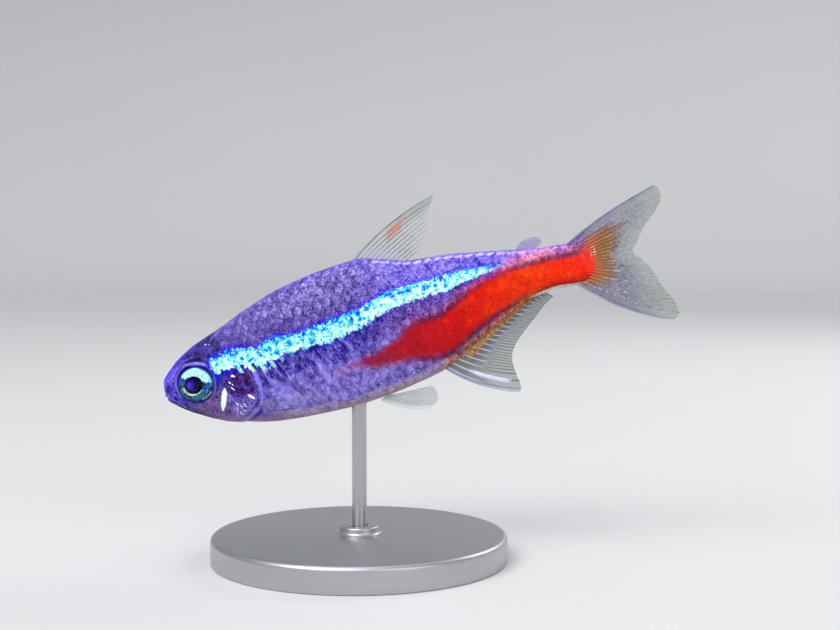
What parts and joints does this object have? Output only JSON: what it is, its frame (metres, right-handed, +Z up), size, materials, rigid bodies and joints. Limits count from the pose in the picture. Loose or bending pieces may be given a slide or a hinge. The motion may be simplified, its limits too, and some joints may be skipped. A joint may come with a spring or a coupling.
{
  "type": "neon tetra",
  "caption": "Life-size still model of a small aquarium fish with a bright blue stripe and a red flank, head a little down, held over a plain disc by one short rod.",
  "frame": {"origin": "centre of the underside of the stand's disc, on the floor", "axes": "+Z up; the fish faces -X with its nose 16.5 degrees down; its left side faces -Y"},
  "size_m": [0.0314, 0.018, 0.0229],
  "materials": {
    "back_skin": "wet satin, violet over dark dots, with a cyan stripe",
    "head_skin": "wet satin, dark violet-blue",
    "gill_skin": "wet satin, plum with silver flecks",
    "red_skin": "wet satin, crimson to orange red",
    "eye": "wet gloss, cyan over a dark pupil",
    "fin_web": "clear film on pale rays",
    "stand_disc": "bead blasted, satin",
    "stand_rod": "fine drawn steel"
  },
  "bodies": {
    "root": {"head": "head_skin", "lower_jaw": "head_skin", "gill_cover_left": "gill_skin", "gill_cover_right": "gill_skin", "trunk": "back_skin", "tail": "red_skin", "eye_left": "eye", "eye_right": "eye", "dorsal_fin": "fin_web", "adipose_fin": "fin_web", "caudal_fin": "fin_web", "anal_fin": "fin_web", "pelvic_fin_left": "fin_web", "pelvic_fin_right": "fin_web", "pectoral_fin_left": "fin_web", "pectoral_fin_right": "fin_web", "stand_base": "stand_disc", "stand_rod": "stand_rod"}
  },
  "joints": []
}
